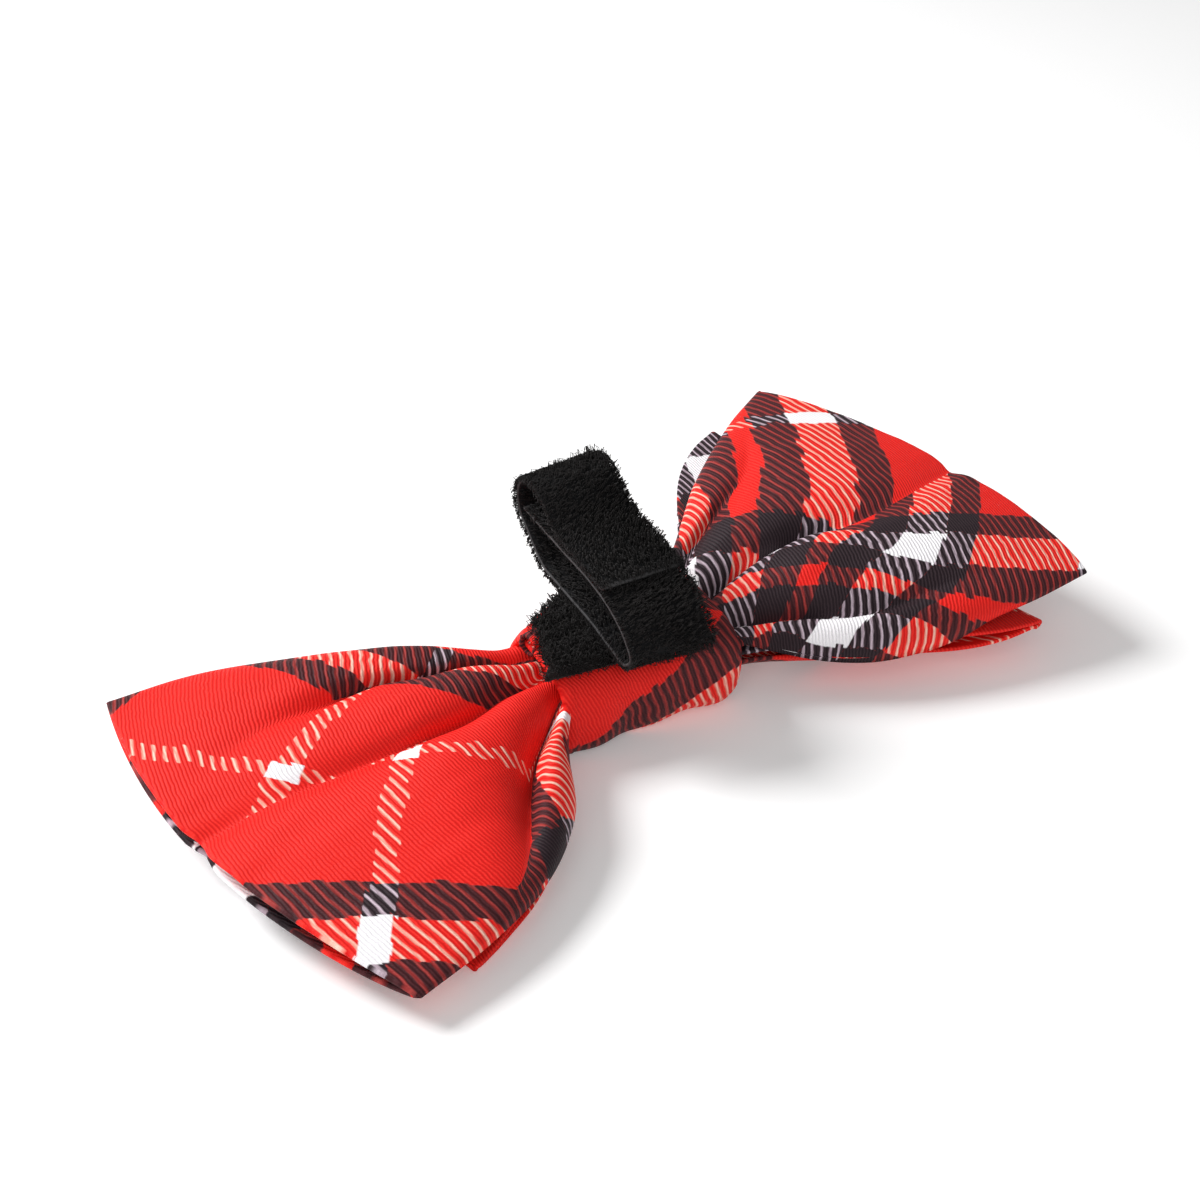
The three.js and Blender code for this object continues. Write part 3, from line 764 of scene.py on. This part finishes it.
KNOT_TURN = math.radians(-13.0)
KNOT_SHIFT = -0.9
KNOT_HALF_WIDTH = 15.5
KNOT_HALF_DEPTH = 13.0
KNOT_TAPER = 3.6            # of its half depth at its far left corner
KNOT_HEM, KNOT_WAIST = 0.9, 0.5
KNOT_FLOOR_GAP = 0.05
BAND_WALL = 1.4
KNOT_TOP = 7.6
KNOT_BOTTOM = 9.0
KNOT_SQUARENESS = 3.0
ROLL_PLACE = (-16.4, 4.2, 6.6)
ROLL_TURN = math.radians(-90.0)
ROLL_LENGTH = 6.5
ROLL_OUTER, ROLL_INNER, ROLL_WALL = 2.4, 1.4, 0.5
ROLL_FLAT = (24.0, 14.0)    # place of its print


def turned(points, turn, shift_x=0.0):
    """Points shifted along X and then turned about Z."""
    c, s = math.cos(turn), math.sin(turn)
    x, y = points[..., 0] + shift_x, points[..., 1]
    return np.stack([c * x - s * y, s * x + c * y, points[..., 2]], -1)


# The band's top falls away beyond a line across its far left shoulder
SHOULDER = (-12.6, 5.4)
SHOULDER_WAY = (-0.531, 0.847)


def past_shoulder(x, y):
    """How far a place in the band's own axes lies past its far left shoulder."""
    return np.maximum((x - SHOULDER[0]) * SHOULDER_WAY[0] + (y - SHOULDER[1]) * SHOULDER_WAY[1], 0)


def knot_half_depth(x, y):
    """Half the band's depth at a place: less at its far left corner, where the bow is thin."""
    return KNOT_HALF_DEPTH - KNOT_TAPER * smooth_step(-x, 4.0, KNOT_HALF_WIDTH) * (y > 0)


def knot_top(x, y):
    """Height of the band's top at a place in its own axes."""
    round_off = np.clip(1 - np.abs(y / knot_half_depth(x, y)) ** KNOT_SQUARENESS, 0, 1)
    hang = np.maximum(-KNOT_HALF_WIDTH - x, 0)
    return KNOT_TOP * round_off ** (1 / KNOT_SQUARENESS) - past_shoulder(x, y) - hang


def knot(cloth):
    """The gathered band, with both of its edges turned in."""
    rows, columns = 96, 200
    rim = np.linspace(-1, 1, rows)[:, None]
    angle = 2 * math.pi * np.arange(columns)[None, :] / columns
    power = 2 / KNOT_SQUARENESS
    out = np.sign(np.cos(angle)) * np.abs(np.cos(angle)) ** power
    up = np.sign(np.sin(angle)) * np.abs(np.sin(angle)) ** power
    roll = KNOT_HEM * np.abs(rim) ** 14
    waist = KNOT_WAIST * (1 - rim ** 2)
    y = out * (knot_half_depth(rim * KNOT_HALF_WIDTH, out) - roll - waist)
    z = np.where(up > 0, up * (KNOT_TOP - roll - 0.4 * waist), up * (KNOT_BOTTOM + 1.0))
    x = rim * KNOT_HALF_WIDTH + 0 * angle
    folds = 0.35 * np.sin(rim * 9 + 0.8 * np.sin(angle * 2 + 0.5)) * (np.abs(rim) < 0.9)
    skin = np.stack([x, y, z], -1)
    skin[..., 1] += folds * np.cos(angle) + rumple(np.stack([x, y, z], -1), 6.0, 0.5, 21)
    skin[..., 2] += 0.5 * folds * np.sin(angle)
    around = arc_length(np.concatenate([skin, skin[:, :1]], 1)[rows // 2], 0)[:-1]
    flat = np.stack([x, np.repeat(around[None, :], rows, 0)], -1)
    skin[..., 2] -= past_shoulder(skin[..., 0], skin[..., 1]) * smooth_step(skin[..., 2], -2, 4)
    skin = turned(skin, KNOT_TURN, KNOT_SHIFT)
    lowest = (skin @ lean.T)[..., 2] + PARTING_HEIGHT
    skin[..., 2] += np.maximum(KNOT_FLOOR_GAP - lowest, 0)
    grid, flat = walled(skin, printed(flat, "band"), BAND_WALL)
    part = np.zeros(grid.shape[1], int)
    return cloth_piece("knot_cloth", grid, flat[None], part, cloth, "knot_band")


def rolled_edge(cloth):
    """The band's left edge, rolled on itself beside the patch."""
    steps, rows = 44, 12
    turn = np.linspace(0.5, 0.5 + 2.3 * math.pi, steps)
    radius = np.linspace(ROLL_OUTER, ROLL_INNER, steps)
    outer = np.stack([radius * np.cos(turn), radius * np.sin(turn)], -1)
    radius = radius - ROLL_WALL
    inner = np.stack([radius * np.cos(turn), radius * np.sin(turn)], -1)
    ring = np.concatenate([outer, inner[::-1]])
    along = np.linspace(0, ROLL_LENGTH, rows)
    grid = np.stack([
        np.repeat(ring[None, :, 0], rows, 0),
        np.repeat(along[:, None], len(ring), 1) + 0.15 * np.sin(3 * ring[None, :, 1]),
        np.repeat(ring[None, :, 1], rows, 0),
    ], -1)
    points = turned(grid, ROLL_TURN).reshape(-1, 3) + ROLL_PLACE
    quads = facing_out(points, folded_quads(rows, len(ring)))
    around = np.concatenate([arc_length(outer, 0), arc_length(outer, 0)[::-1]])
    flat = np.stack([np.repeat(around[None, :], rows, 0), np.repeat(along[:, None], len(ring), 1)], -1)
    flat = (flat + ROLL_FLAT).reshape(-1, 2)
    return finished("rolled_edge", points, quads, flat[quads].reshape(-1, 2) * MM, cloth)


# The pile patch and the strap

PATCH_TURN = math.radians(-17.0)
STRAP_TURN = math.radians(-13.7)
STRAP_SHIFT = -0.8
STRAP_HALF_WIDTH = 6.75
STRAP_LOW, STRAP_HIGH = 10.3, 18.0      # heights of its middle line on the patch and above
BACKING_LOW, BACKING_HIGH = -0.15, 0.40
NEAR_BEND_REACH = 15.2
FAR_BEND, FAR_BEND_RADIUS = (17.3, STRAP_HIGH + 1.1), 5.0


def ribbon(course, half_width, below, above):
    """A flat strap with rounded edges along a course of (along, up) points. Returns its points,
    its faces, the two that close its ends, the way to the course's left, and for each point
    how far it is from the free end and from the middle."""
    ahead = unit(np.gradient(course, axis=0))
    left = np.stack([-ahead[:, 1], ahead[:, 0]], -1)
    across = np.linspace(-1, 1, 13) * half_width
    ring = [(a, above) for a in across]
    turns = np.linspace(math.pi / 2, -math.pi / 2, 6)[1:-1]
    middle, radius = (above + below) / 2, (above - below) / 2
    ring += [(half_width + radius * 0.7 * math.cos(t), middle + radius * math.sin(t)) for t in turns]
    ring += [(a, below) for a in across[::-1]]
    ring += [(-half_width - radius * 0.7 * math.cos(t), middle - radius * math.sin(t)) for t in turns]
    ring = np.array(ring)
    points = np.stack([
        np.repeat(ring[None, :, 0], len(course), 0),
        course[:, None, 0] + left[:, None, 0] * ring[None, :, 1],
        course[:, None, 1] + left[:, None, 1] * ring[None, :, 1],
    ], -1)
    rows, columns = points.shape[:2]
    to_go = arc_length(course, 0)[-1] - arc_length(course, 0)
    marks = np.stack([np.repeat(to_go[:, None], columns, 1), np.repeat(ring[None, :, 0], rows, 0)], -1)
    caps = [list(range(columns))[::-1], list(range((rows - 1) * columns, rows * columns))]
    return points.reshape(-1, 3), tube_quads(rows, columns), caps, left, marks.reshape(-1, 2)


def strap_course():
    """Middle line of the strap: (along, up) from its inner end over the collar slot, round the
    near bend, along the patch, round the far bend and back over itself to its free end."""
    rise = STRAP_HIGH - STRAP_LOW
    # Shares of the near bend's reach and of the rise
    slot = [(-0.20, 1.00), (-0.60, 0.86), (-0.91, 0.53), (-1.03, 0.20), (-0.93, -0.08),
            (-0.62, -0.08)]
    points = [(19.7, STRAP_HIGH), (12.0, STRAP_HIGH), (6.0, STRAP_HIGH)]
    points += [(NEAR_BEND_REACH * a, STRAP_LOW + rise * u) for a, u in slot]
    points += [(along, STRAP_LOW) for along in (-3.0, 4.0, 9.0, 12.04)]
    points += [(FAR_BEND[0] + FAR_BEND_RADIUS * math.cos(t), FAR_BEND[1] + FAR_BEND_RADIUS * math.sin(t))
               for t in np.linspace(-1.15, math.pi / 2 + 0.18, 9)]
    points += [(8.0, STRAP_HIGH + 2.05), (1.0, STRAP_HIGH + 1.45), (-6.3, STRAP_HIGH + 1.02)]
    points = np.array(points)
    chord = arc_length(points, 0)
    even = np.linspace(0, chord[-1], 260)
    return through(np.column_stack([chord, points]), even).T


def strap(backing):
    """The thin backing of the strap. Its looped side is on the right of its course."""
    course = strap_course()
    points, quads, caps, left, marks = ribbon(course, STRAP_HALF_WIDTH, BACKING_LOW, BACKING_HIGH)
    placed = turned(points + (STRAP_SHIFT, 0, 0), STRAP_TURN)
    faces = [tuple(q) for q in quads] + [tuple(c) for c in caps]
    if signed_volume(placed, quads) < 0:
        faces = [f[::-1] for f in faces]
    corners = marks[np.concatenate([np.array(f) for f in faces])]
    body = finished("strap_backing", placed, faces, corners * MM, backing, "strap_loop")
    return body, course, left


FIBRE_RADIUS = 0.068
FIBRE_SIDES = 3
LONG_FIBRES, LONGER_BY = 0.1, 1.6       # the share of long fibres, and how much longer they are
# A fibre's points: along its lean, up, and to its side
FIBRE_CURL = [(0.0, -0.35, 0.0), (0.05, 0.75, 0.3), (0.75, 1.0, 0.6), (1.0, 0.25, 1.0)]


def scattered_fibres(name, places, normals, ahead, seed, finish, size):
    """Many small curled fibres of yarn that stand on a surface, joined into one mesh."""
    draw = np.random.default_rng(seed)
    count = len(places)
    side = np.cross(normals, ahead)
    turn = draw.uniform(0, 2 * math.pi, count)[:, None]
    lean_way = np.cos(turn) * ahead + np.sin(turn) * side
    tall = draw.uniform(0.45, 1.45, count)[:, None] * size
    tall *= np.where(draw.uniform(0, 1, count) < LONG_FIBRES, LONGER_BY, 1.0)[:, None]
    wide = draw.uniform(0.2, 1.2, count)[:, None] * size
    other = np.cross(normals, lean_way)
    twist = draw.uniform(-0.5, 0.5, count)[:, None] * size
    spine = [places + lean_way * wide * s + normals * tall * u + other * twist * t
             for s, u, t in FIBRE_CURL]
    spine = np.stack(spine, 1)
    ahead_on = unit(np.gradient(spine, axis=1))
    first = unit(np.cross(ahead_on, normals[:, None, :] + 0.31 * other[:, None, :]))
    second = np.cross(ahead_on, first)
    turns = 2 * math.pi * np.arange(FIBRE_SIDES) / FIBRE_SIDES
    rings = [spine + (np.cos(a) * first + np.sin(a) * second) * FIBRE_RADIUS for a in turns]
    points = np.stack(rings, 2).reshape(-1, 3)
    on_one = len(FIBRE_CURL) * FIBRE_SIDES
    base = np.arange(count)[:, None, None] * on_one
    sides = tube_quads(len(FIBRE_CURL), FIBRE_SIDES)
    quads = (sides + base).reshape(-1, 4)
    start = (np.array([[0, 2, 1]]) + base[:, 0]).tolist()
    last = (np.arange(on_one - FIBRE_SIDES, on_one)[None] + base[:, 0]).tolist()
    faces = quads.tolist() + start + last
    if signed_volume(points[:on_one], sides) < 0:
        faces = [f[::-1] for f in faces]
    return finished(name, points, faces, None, finish)


def strap_fuzz(name, course, left, finish, side, count, size, seed):
    """Curled fibres on the strap's outer face, on its inner face or along its cut edges."""
    draw = np.random.default_rng(seed)
    at = draw.uniform(0, 1, count) * (len(course) - 1)
    k = np.clip(at.astype(int), 0, len(course) - 2)
    t = (at - k)[:, None]
    spot = course[k] * (1 - t) + course[k + 1] * t
    way = unit(left[k] * (1 - t) + left[k + 1] * t)
    across = draw.uniform(-1, 1, count) * STRAP_HALF_WIDTH
    lift = np.full(count, 0.3 if side == "inner" else -0.05)
    tilt = np.zeros(count)
    if side == "edges":
        across = np.sign(across) * STRAP_HALF_WIDTH
        lift = draw.uniform(-0.15, 0.0, count)
        tilt = 0.8 * np.sign(across)
    up = way * (1 if side == "inner" else -1)
    places = np.column_stack([across + STRAP_SHIFT, spot + way * lift[:, None]])
    normals = unit(np.column_stack([tilt, up]))
    along = np.column_stack([np.zeros(count), way[:, 1], -way[:, 0]])
    places, normals, along = (turned(v, STRAP_TURN) for v in (places, normals, along))
    return scattered_fibres(name, places, normals, along, seed, finish, size)


PATCH_NEAR, PATCH_FAR, PATCH_RIGHT = -10.0, 8.0, 9.5
PATCH_PILE = 1.0
PATCH_SEAT, PATCH_FELT = 0.3, 0.2       # how high it sits on the band, and its felt under that
PATCH_FIBRES = 6500
# Rows: place across the patch, place of its uneven left end
PATCH_LEFT_END = [(-10.0, -15.6), (-8.4, -17.4), (-7.2, -16.2), (-5.1, -16.4), (-3.4, -15.4), (-1.4, -16.1),
                  (0.6, -15.0), (2.5, -14.7), (3.8, -12.6), (5.6, -10.2), (8.0, -6.8)]
PATCH_CREASE = ((-14.3, -4.5), (-8.1, -2.4))


def pile_patch(pile):
    """A pad of black pile that drapes over the band's top, with an uneven left end."""
    rows, columns = 90, 60
    u = np.linspace(0, 1, rows)[:, None]
    v = np.linspace(0, 1, columns)[None, :]
    y = PATCH_NEAR + (PATCH_FAR - PATCH_NEAR) * v + 0 * u
    start = through(PATCH_LEFT_END, y)[0]
    x = start + (PATCH_RIGHT - start) * u
    bow = turned(np.stack([x, y, 0 * x], -1), PATCH_TURN)
    own = turned(bow, -KNOT_TURN)
    seat = knot_top(own[..., 0] - KNOT_SHIFT, own[..., 1]) + PATCH_SEAT
    rim = np.minimum(np.minimum(u, 1 - u) * 30, np.minimum(v, 1 - v) * 18)
    thick = PATCH_PILE * np.sqrt(np.clip(rim, 0.02, 1))
    place = np.stack([x, y], -1)
    clumps = rumple(place, 1.3, 0.35, 31) + rumple(place, 4.0, 0.5, 32)
    (ax, ay), (bx, by) = PATCH_CREASE
    share = np.clip(((x - ax) * (bx - ax) + (y - ay) * (by - ay)) / ((bx - ax) ** 2 + (by - ay) ** 2), 0, 1)
    off = np.hypot(x - ax - share * (bx - ax), y - ay - share * (by - ay))
    top = thick + np.minimum(rim, 1) * (clumps - 0.6 * np.exp(-(off / 0.4) ** 2))
    upper = np.concatenate([bow[..., :2], (seat + np.maximum(top, 0.12))[..., None]], -1)
    lower = np.concatenate([bow[..., :2], (seat - PATCH_FELT)[..., None]], -1)
    grid = np.concatenate([upper, lower[:, ::-1]], 1)
    points = grid.reshape(-1, 3)
    quads = facing_out(points, folded_quads(rows, grid.shape[1]))
    pad = finished("patch_pad", points, quads, None, pile, "strap_base")
    normals = unit(np.cross(np.gradient(upper, axis=0), np.gradient(upper, axis=1)))
    normals *= np.sign(normals[..., 2:])
    draw = np.random.default_rng(8)
    k = draw.integers(0, rows, PATCH_FIBRES)
    m = draw.integers(0, columns, PATCH_FIBRES)
    places = upper[k, m] + draw.uniform(-0.2, 0.2, (PATCH_FIBRES, 3)) * (1, 1, 0)
    along = unit(np.cross(normals[k, m], (0.0, 1.0, 0.0)))
    fuzz = scattered_fibres("patch_loops", places, normals[k, m], along, 9, pile, size=0.85)
    return pad, fuzz


# The pieces

print_group, weave_group = tartan_print(), twill_weave()
cloth = tartan_cloth("tartan twill", print_group, weave_group)
pile = pile_finish("black loop pile", dark=(0.0018, 0.0016, 0.0016, 1), light=(0.0225, 0.0190, 0.0185, 1))
backing = backing_finish("strap backing", dark=(0.0040, 0.0040, 0.0044, 1),
                         light=(0.0135, 0.0135, 0.0145, 1), cut_edge=(0.062, 0.060, 0.062, 1))

rear = rear_bow(cloth)
front = front_bow(cloth)
band_cloth = tartan_cloth("tartan twill of the band", print_group, weave_group, PRINT["band"]["along"])
band = knot(band_cloth)
roll = rolled_edge(band_cloth)
pad, patch_fuzz = pile_patch(pile)
strap_body, course, left = strap(backing)
fuzz = [strap_fuzz("strap_loops", course, left, pile, "outer", count=9600, size=1.05, seed=6),
        strap_fuzz("strap_inner_loops", course, left, pile, "inner", count=9000, size=0.95, seed=12),
        strap_fuzz("strap_edge_loops", course, left, pile, "edges", count=2600, size=0.75, seed=14)]
strap_length = arc_length(course, 0)[-1] * MM

# Floor, light and camera. The floor's finish glows a little: painted light that keeps the floor white and
# the shadows on it light

bpy.ops.mesh.primitive_plane_add(size=6.0, location=(0, 0, -0.0002))
floor = bpy.context.object
floor.name = "pale_floor"
paper, w, shader = new_finish("white paper")
# The emission is a painted glow, no lamp: it keeps the floor white and lightens the shadows on it
w.feed(shader, Base_Color=(0.90, 0.90, 0.90, 1), Roughness=0.8, Emission_Color=(1, 1, 1, 1),
       Emission_Strength=0.16)
floor.data.materials.append(paper)

world = bpy.data.worlds.new("studio")
bpy.context.scene.world = world
world.use_nodes = True
world.node_tree.nodes["Background"].inputs["Color"].default_value = (1, 1, 1, 1)
world.node_tree.nodes["Background"].inputs["Strength"].default_value = 0.32


def soft_light(name, place, size, watts):
    """A round lamp that faces the bow."""
    lamp = bpy.data.lights.new(name, "AREA")
    lamp.energy = watts
    lamp.shape = "DISK"
    lamp.size = size
    holder = bpy.data.objects.new(name, lamp)
    holder.location = place
    holder.rotation_euler = (Vector((0, 0, 0.01)) - Vector(place)).to_track_quat("-Z", "Y").to_euler()
    bpy.context.scene.collection.objects.link(holder)


soft_light("key light", place=(-0.3, 0.62, 0.62), size=0.5, watts=10.6)
soft_light("fill light", place=(-0.5, -0.6, 0.5), size=0.9, watts=2.4)

CAMERA_PLACE = (-0.17430, -0.18572, 0.17145)
CAMERA_TILT, CAMERA_TURN = math.radians(59.0), math.radians(-42.37)
LENS, SENSOR_WIDTH = 56.52, 36.0
camera = bpy.data.cameras.new("camera")
camera.lens = LENS
camera.sensor_width = SENSOR_WIDTH
holder = bpy.data.objects.new("camera", camera)
holder.location = CAMERA_PLACE
holder.rotation_euler = (CAMERA_TILT, 0.0, CAMERA_TURN)
bpy.context.scene.collection.objects.link(holder)
bpy.context.scene.camera = holder
bpy.context.scene.view_settings.view_transform = "Standard"
